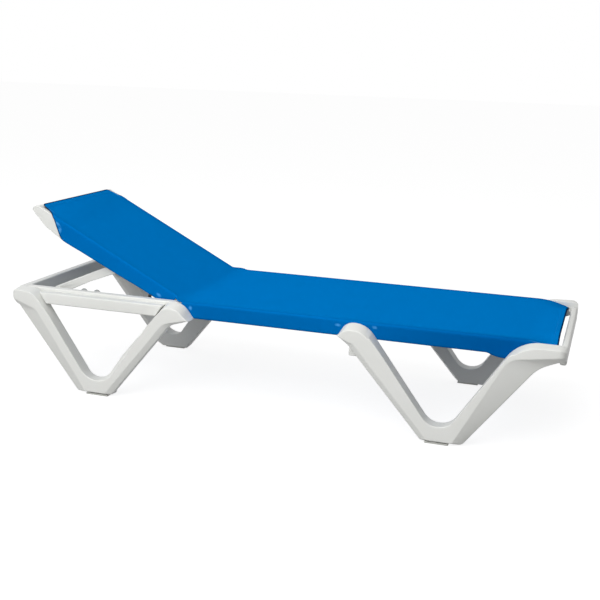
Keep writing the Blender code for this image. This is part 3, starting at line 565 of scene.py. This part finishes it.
row_places = [0.0]
for stop, steps in row_stops:
    row_places += spaced(row_places[-1], stop, steps)


def column_arcs(sizes):
    """Arc lengths of the columns from the middle to the hem, closer together towards the rolled edge."""
    quarter = sizes.radius * pi / 2
    flat = sizes.half_width - sizes.radius
    found = [flat * (1 - (1 - step / column_steps["flat"]) ** edge_crowding)
             for step in range(column_steps["flat"] + 1)]
    for kind, length in (("roll", quarter), ("drop", sizes.flap - 2 * sizes.radius), ("under", quarter),
                         ("hem", hem_width - sizes.radius)):
        found += spaced(found[-1], found[-1] + length, column_steps[kind])
    return found


def cloth_place(row, column):
    """Distance along the cloth and arc length across it of a grid point, and how far the head's cut is."""
    side = 1 if column >= 0 else -1
    distance = row_places[row]
    across = column_arcs(section(distance))[abs(column)] * side
    if distance <= head_taper_start:
        return distance, across, sling_length - distance
    cut = back_distance(head_cut(across))
    drawn_in = (cut - head_taper_start) / (sling_length - head_taper_start)
    distance = head_taper_start + (distance - head_taper_start) * drawn_in
    across = column_arcs(section(distance))[abs(column)] * side
    return distance, across, cut - distance


print("rows:", len(row_places), "columns:", 2 * sum(column_steps.values()) + 1)

# %% [markdown]
# ## Bending the cloth over the frame
# Every vertex is moved from its flat place to its place on the frame. The flat place is kept as the UV
# map, in metres, so the weave follows the cloth exactly. The distance to the nearest cut edge, the strength
# of the painted highlight on the puckers and the painted shade on the flaps are kept as attributes. The part
# beside the hinge that would lie under the rails is cut away, and a Solidify modifier then gives the cloth its
# thickness.

# %% Places on the frame
seat_middle = Vector((0.3, 0, seat_top))

# Arc lengths between which a swelling turns from upwards to outwards as well.
outward_inner = 0.262
outward_outer = 0.276


def on_frame(distance, across, to_edge):
    """Where a place on the flat cloth comes to lie, and how strong the painted highlight of its puckers is there.
    """
    side = 1 if across >= 0 else -1
    point, _, normal = path(distance)
    sideways, down = section_point(section(distance), across)
    down -= foot_drop(distance, sideways)
    swell, strength = pucker(distance, across)
    swell += hem_height(to_edge)
    outward = Vector((0, side * smooth(outward_inner, outward_outer, abs(across)), 0))
    return point + Vector((0, sideways, 0)) + normal * (down + swell) + outward * swell, strength


lowest = on_frame(seat_distance(seat_middle.x), across=0.0, to_edge=hem_step_end)[0]
print("the middle of the seat hangs %.1f mm low" % (1000 * (seat_top - lowest.z)))

# %% Build the sling
cloth_thickness = 0.0018


def cut_beside_hinge(sheet, grid_place):
    """Delete the faces beside the hinge that would lie under the rails."""
    row_start = row_places.index(seat_flap_end)
    row_stop = row_places.index(flap_return)
    last_kept = column_steps["flat"] + column_steps["roll"] + column_steps["drop"]
    cut_faces = []
    for face in sheet.faces:
        rows = [grid_place[vertex][0] for vertex in face.verts]
        columns = [abs(grid_place[vertex][1]) for vertex in face.verts]
        if min(rows) >= row_start and max(rows) <= row_stop and max(columns) > last_kept:
            cut_faces.append(face)
    bmesh.ops.delete(sheet, geom=cut_faces, context="FACES")


def build_sling():
    """One sheet of cloth from the foot end to the head end, wrapped over the rails, and its area."""
    rows = len(row_places) - 1
    half_columns = sum(column_steps.values())
    sheet = bmesh.new()
    bmesh.ops.create_grid(sheet, x_segments=rows, y_segments=2 * half_columns, size=1.0)
    weave = sheet.loops.layers.uv.new("weave")
    # This attribute holds how strong the painted highlight on the puckers is.
    pucker_highlight = sheet.verts.layers.float.new("pucker_highlight")
    edge = sheet.verts.layers.float.new("edge_distance")
    flap_shade = sheet.verts.layers.float.new("painted_flap_shade")
    grid_place = {}
    flat_place = {}
    for vertex in sheet.verts:
        row = round((vertex.co.x + 1) / 2 * rows)
        column = round((vertex.co.y + 1) * half_columns) - half_columns
        distance, across, to_cut = cloth_place(row, column)
        to_edge = min(distance, max(to_cut, 0.0))
        vertex.co, vertex[pucker_highlight] = on_frame(distance, across, to_edge)
        vertex[edge] = to_edge
        # How strong the painted shade on the flaps is at this vertex.
        vertex[flap_shade] = painted_flap_shade(distance, across)
        grid_place[vertex] = (row, column)
        flat_place[vertex] = (distance, across)
    for face in sheet.faces:
        for loop in face.loops:
            loop[weave].uv = flat_place[loop.vert]
    cut_beside_hinge(sheet, grid_place)
    top_face = min(sheet.faces, key=lambda face: (face.calc_center_median() - seat_middle).length)
    if top_face.normal.z < 0:
        bmesh.ops.reverse_faces(sheet, faces=sheet.faces)
    area = sum(face.calc_area() for face in sheet.faces)
    mesh = bpy.data.meshes.new("sling")
    sheet.to_mesh(mesh)
    sheet.free()
    mesh.shade_smooth()
    return mesh, area


sling_mesh, sling_area = build_sling()
sling = bpy.data.objects.new("sling", sling_mesh)
bpy.context.scene.collection.objects.link(sling)
wall = sling.modifiers.new("cloth_thickness", "SOLIDIFY")
wall.thickness = cloth_thickness
wall.offset = -1
wall.use_even_offset = True
print("sling faces:", len(sling_mesh.polygons), "area %.3f m2" % sling_area)

# %% [markdown]
# ## Woven sling cloth
# The cloth is woven from polyester yarns coated in blue vinyl, and heat fused where they cross. Each yarn
# is about a millimetre thick, which gives a fine basket of tiny rounded squares with a soft plastic sheen.
# The yarns run along and across the lounger, so the pattern reads the cloth's own UV map. It is drawn at
# 2 mm, a little coarser than the real one, so that it still shows up close.
# The colour is built in layers. The yarn is a little faded in patches, and the gaps between yarns have
# painted shade. The flaps have painted shade in a deeper blue, the puckers a painted highlight in a paler
# blue, and the last few millimetres at a cut edge a painted shade line in the darkest blue.

# %% Basket weave
yarn_mm = 2.0
yarn_bump = 0.0004


def basket_weave(tree, place):
    """Height of two crossing sets of round yarns, one unit wide, that take turns on top."""
    parts = add_node(tree, "ShaderNodeSeparateXYZ", inputs={"Vector": place})
    yarns = []
    squares = []
    for axis in ("X", "Y"):
        yarn = parts.outputs[axis]
        for operation, inputs in (("MULTIPLY", {1: pi}), ("SINE", {}), ("ABSOLUTE", {})):
            yarn = add_node(tree, "ShaderNodeMath", {"operation": operation}, {0: yarn, **inputs}).outputs[0]
        yarns.append(yarn)
        square = add_node(tree, "ShaderNodeMath", {"operation": "FLOOR"}, {0: parts.outputs[axis]})
        squares.append(square.outputs[0])
    cell = add_node(tree, "ShaderNodeMath", {"operation": "ADD"}, {0: squares[0], 1: squares[1]})
    on_top = add_node(tree, "ShaderNodeMath", {"operation": "FLOORED_MODULO"}, {0: cell.outputs[0], 1: 2.0})
    height = add_node(tree, "ShaderNodeMix", {"data_type": "FLOAT"},
                      {"Factor": on_top.outputs[0], "A": yarns[0], "B": yarns[1]})
    return height.outputs[0]


print("yarns drawn", yarn_mm, "mm wide")

# %% Sling material
fade_patch_mm = 111
fade_share = 0.07
# The painted highlight on the puckers: the strength it shows from, and the most it reaches.
highlight_shows_from = 0.25
highlight_strength = 0.85

# The painted shade in the gaps turns into the yarn's colour over this share of the weave's height.
gap_shade_share = 0.45

# Distances from a cut edge: a painted shade line is full up to the first and gone from the second.
edge_shade_until = 0.0035
edge_shade_gone_from = 0.0065


def woven_sling(name, yarn_hex, gap_shade_hex, flap_shade_hex, highlight_hex, edge_shade_hex):
    """Basket weave of coated yarns, with painted shade in its gaps, on its flaps and at its cut edges, and a
    painted highlight on its puckers.
    """
    made, tree, shader = new_material(name)
    place = add_node(tree, "ShaderNodeUVMap", {"uv_map": "weave"}).outputs["UV"]
    scaled = add_node(tree, "ShaderNodeVectorMath", {"operation": "SCALE"},
                      {0: place, "Scale": per_metre(yarn_mm)})
    height = basket_weave(tree, scaled.outputs["Vector"])
    yarn = colour(yarn_hex)
    clouds = add_node(tree, "ShaderNodeTexNoise",
                      inputs={"Vector": place, "Scale": per_metre(fade_patch_mm), "Detail": 3.0})
    worn = add_node(tree, "ShaderNodeMix", {"data_type": "RGBA"},
                    {"Factor": clouds.outputs["Fac"], "A": yarn, "B": dimmed(yarn, [fade_share] * 3)})
    depth = add_node(tree, "ShaderNodeMapRange",
                     inputs={"Value": height, "From Min": 0.0, "From Max": gap_shade_share})
    # Painted shade in the gaps between the yarns.
    body = add_node(tree, "ShaderNodeMix", {"data_type": "RGBA"},
                    {"Factor": depth.outputs["Result"], "A": colour(gap_shade_hex), "B": worn.outputs["Result"]})
    flap_shade = add_node(tree, "ShaderNodeAttribute", {"attribute_name": "painted_flap_shade"})
    pucker_highlight = add_node(tree, "ShaderNodeAttribute", {"attribute_name": "pucker_highlight"})
    pucker_highlight_share = add_node(tree, "ShaderNodeMapRange",
                       inputs={"Value": pucker_highlight.outputs["Fac"], "From Min": highlight_shows_from,
                               "From Max": 1.0, "To Max": highlight_strength})
    to_edge = add_node(tree, "ShaderNodeAttribute", {"attribute_name": "edge_distance"})
    # A painted shade line along the last few millimetres of each cut edge.
    edge_shade = add_node(tree, "ShaderNodeMapRange",
                      inputs={"Value": to_edge.outputs["Fac"], "From Min": edge_shade_until,
                              "From Max": edge_shade_gone_from, "To Min": 1.0, "To Max": 0.0})
    shade = body.outputs["Result"]
    # Layers of painted colour: shade on the flaps, a highlight on the puckers, a shade line at the cut edges.
    for factor, hex_value in ((flap_shade.outputs["Fac"], flap_shade_hex), (pucker_highlight_share.outputs["Result"], highlight_hex),
                              (edge_shade.outputs["Result"], edge_shade_hex)):
        layer = add_node(tree, "ShaderNodeMix", {"data_type": "RGBA"},
                         {"Factor": factor, "A": shade, "B": colour(hex_value)})
        shade = layer.outputs["Result"]
    bump = add_node(tree, "ShaderNodeBump",
                    inputs={"Height": height, "Distance": yarn_bump, "Strength": 0.5})
    tree.links.new(shade, shader.inputs["Base Color"])
    tree.links.new(bump.outputs["Normal"], shader.inputs["Normal"])
    shader.inputs["Roughness"].default_value = 0.6
    shader.inputs["Specular IOR Level"].default_value = 0.0
    return made


# The darker blues paint shade in the gaps, on the flaps and at the cut edges; the paler blue paints a highlight on
# the puckers.
sling_cloth = woven_sling("vinyl_coated_polyester_weave", yarn_hex="#0080D2", gap_shade_hex="#006FC2",
                          flap_shade_hex="#00559C", highlight_hex="#55AAEE", edge_shade_hex="#05335E")
sling_mesh.materials.append(sling_cloth)
print("sling material:", sling_cloth.name)

# %% [markdown]
# ## Hem stitches
# Each end hem is sewn down with one row of lock stitches in a thread of the same blue. Real ones, about
# four to the centimetre, would be too fine to see, so these are four millimetres apart. Each is a small
# bead of thread, made from a sphere that is drawn out along the hem and half sunk in the cloth.

# %% Hem stitches
stitch_pitch = 0.004
stitch_size = (0.0004, 0.0013, 0.0004)
stitch_inset = 0.004
foot_row_reach = 0.236
head_row_reach = 0.224


def stitch_row(name, distance, reach):
    """A row of stitches across the cloth at a distance along it, to this reach on both sides."""
    point, run, normal = path(distance)
    turn = Matrix(((-run.x, 0, normal.x), (0, 1, 0), (-run.z, 0, normal.z))).to_4x4()
    sizes = section(distance)
    row = bmesh.new()
    count = round(2 * reach / stitch_pitch)
    for number in range(count + 1):
        sideways, down = section_point(sizes, -reach + number * stitch_pitch)
        down -= foot_drop(distance, sideways)
        middle = point + Vector((0, sideways, 0)) + normal * (down + hem_rise)
        place = Matrix.Translation(middle) @ turn @ Matrix.Diagonal((*stitch_size, 1))
        bmesh.ops.create_icosphere(row, subdivisions=1, radius=1.0, matrix=place)
    mesh = bpy.data.meshes.new(name)
    row.to_mesh(mesh)
    row.free()
    mesh.shade_smooth()
    piece = bpy.data.objects.new(name, mesh)
    bpy.context.scene.collection.objects.link(piece)
    print(name, count + 1, "stitches")
    return piece


foot_stitches = stitch_row("foot_hem_stitches", hem_fold - stitch_inset, foot_row_reach)
head_stitches = stitch_row("head_hem_stitches", back_distance(back_length) - hem_fold + stitch_inset,
                           head_row_reach)

# %% [markdown]
# ## Sewing thread
# The thread is bonded polyester, spun and twisted, which scatters light more softly than the coated yarn.
# It is a shade lighter than the cloth, with a fine twist of 0.6 mm. The Wave texture draws slanting bands
# for the twist, ten radians of them to a unit along each axis, so its scale is worked out from that.

# %% Thread material
bands_in_a_unit = 10 * sqrt(3) / (2 * pi)


def sewing_thread(name, light_hex, dark_hex, twist_mm):
    """Twisted thread, as slanting bands of two near tones."""
    made, tree, shader = new_material(name)
    place = add_node(tree, "ShaderNodeTexCoord").outputs["Object"]
    twist = add_node(tree, "ShaderNodeTexWave", {"bands_direction": "DIAGONAL"},
                     {"Vector": place, "Scale": per_metre(twist_mm) / bands_in_a_unit, "Distortion": 1.0})
    ply = add_node(tree, "ShaderNodeMix", {"data_type": "RGBA"},
                   {"Factor": twist.outputs["Fac"], "A": colour(light_hex), "B": colour(dark_hex)})
    tree.links.new(ply.outputs["Result"], shader.inputs["Base Color"])
    shader.inputs["Roughness"].default_value = 0.7
    shader.inputs["Specular IOR Level"].default_value = 0.1
    return made


thread = sewing_thread("bonded_polyester_thread", "#2E8BD6", "#1B74BE", twist_mm=0.6)
for piece in (foot_stitches, head_stitches):
    piece.data.materials.append(thread)
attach(foot_stitches, "base")
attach(head_stitches, "back")
print("thread:", thread.name)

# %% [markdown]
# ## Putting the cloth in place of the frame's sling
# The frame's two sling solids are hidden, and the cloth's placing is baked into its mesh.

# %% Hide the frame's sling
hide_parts("sling_seat", "sling_back")
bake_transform(sling)

# %% [markdown]
# ## Floor and background
# A product picture of outdoor furniture is taken on white. The floor and the surround are white only to
# the camera, straight or in gloss and glass. The light that they throw on the lounger is that of a grey
# floor and a pale sky, which is stronger overhead than at the horizon and weaker beyond the foot end. So
# the white never comes from more light on the object, and its shadow stays on the floor.

# %% Floor
floor_size = 60.0
floor_glow = 0.86


def seen_directly(tree):
    """1 for what the camera sees, straight or in gloss and glass, and 0 for light on other things."""
    rays = add_node(tree, "ShaderNodeLightPath")
    seen = add_node(tree, "ShaderNodeMath", {"operation": "MAXIMUM"},
                    {0: rays.outputs["Is Camera Ray"], 1: rays.outputs["Is Glossy Ray"]})
    seen = add_node(tree, "ShaderNodeMath", {"operation": "MAXIMUM"},
                    {0: seen.outputs[0], 1: rays.outputs["Is Transmission Ray"]})
    return seen.outputs[0]


def studio_floor(finish):
    """A large flat floor, which is part of the stage and not of the lounger."""
    sheet = bmesh.new()
    bmesh.ops.create_grid(sheet, x_segments=1, y_segments=1, size=floor_size / 2)
    mesh = bpy.data.meshes.new("studio_floor")
    sheet.to_mesh(mesh)
    sheet.free()
    mesh.materials.append(finish)
    floor = bpy.data.objects.new("studio_floor", mesh)
    bpy.context.scene.collection.objects.link(floor)
    return floor


def floor_paint(name, bounced_hex, seen_hex):
    """Matt paint that glows only where the camera sees it."""
    made, tree, shader = new_material(name)
    seen = seen_directly(tree)
    paint = add_node(tree, "ShaderNodeMix", {"data_type": "RGBA"},
                     {"Factor": seen, "A": colour(bounced_hex), "B": colour(seen_hex)})
    glow = add_node(tree, "ShaderNodeMath", {"operation": "MULTIPLY"}, {0: seen, 1: floor_glow})
    tree.links.new(paint.outputs["Result"], shader.inputs["Base Color"])
    tree.links.new(glow.outputs[0], shader.inputs["Emission Strength"])
    shader.inputs["Emission Color"].default_value = colour("#FFFFFF")
    shader.inputs["Roughness"].default_value = 0.9
    shader.inputs["Specular IOR Level"].default_value = 0.0
    return made


floor = studio_floor(floor_paint("matt_white_floor", bounced_hex="#A0A0A0", seen_hex="#959595"))
print("stage:", floor.name, floor_size, "m wide")

# %% Background
horizon_strength = 0.25
overhead_strength = 0.60
foot_side_share = 0.35


def pale_surround(name):
    """A surround that is white to the camera and a soft sky to the lounger."""
    world = bpy.data.worlds.new(name)
    world.use_nodes = True
    tree = world.node_tree
    place = add_node(tree, "ShaderNodeTexCoord").outputs["Generated"]
    direction = add_node(tree, "ShaderNodeSeparateXYZ", inputs={"Vector": place})
    sky = add_node(tree, "ShaderNodeMapRange",
                   inputs={"Value": direction.outputs["Z"], "From Min": 0.0, "From Max": 0.9,
                           "To Min": horizon_strength, "To Max": overhead_strength})
    dimmer = add_node(tree, "ShaderNodeMapRange",
                      inputs={"Value": direction.outputs["X"], "From Min": -0.1, "From Max": 0.7,
                              "To Min": 1.0, "To Max": foot_side_share})
    soft = add_node(tree, "ShaderNodeMath", {"operation": "MULTIPLY"},
                    {0: sky.outputs["Result"], 1: dimmer.outputs["Result"]})
    strength = add_node(tree, "ShaderNodeMix", {"data_type": "FLOAT"},
                        {"Factor": seen_directly(tree), "A": soft.outputs[0], "B": 1.0})
    background = tree.nodes["Background"]
    background.inputs["Color"].default_value = colour("#FFFFFF")
    tree.links.new(strength.outputs[0], background.inputs["Strength"])
    return world


bpy.context.scene.world = pale_surround("pale_surround")
print("background:", bpy.context.scene.world.name)

# %% [markdown]
# ## Lamps
# Two large square lamps of like strength do most of the lighting. One hangs above and in front of the
# lounger's near side. The other is lower and further away, behind the camera. Their size makes the
# shadows soft.

# %% Lamps
lamp_aim = Vector((0.0, 0.0, 0.3))


def soft_lamp(name, place, size, energy):
    """A large square lamp, in metres and watts, that is aimed at the lounger."""
    light = bpy.data.lights.new(name, "AREA")
    light.shape = "SQUARE"
    light.size = size
    light.energy = energy
    lamp = bpy.data.objects.new(name, light)
    lamp.location = place
    lamp.rotation_euler = (lamp_aim - Vector(place)).to_track_quat("-Z", "Y").to_euler()
    bpy.context.scene.collection.objects.link(lamp)
    return lamp


lamps = [soft_lamp("key_softbox", place=(-0.4, -2.6, 4.0), size=3.4, energy=95.0),
         soft_lamp("front_softbox", place=(-0.5, -4.9, 2.5), size=3.0, energy=114.0)]
bpy.context.scene.view_settings.view_transform = "Standard"
print("lamps:", [lamp.name for lamp in lamps])
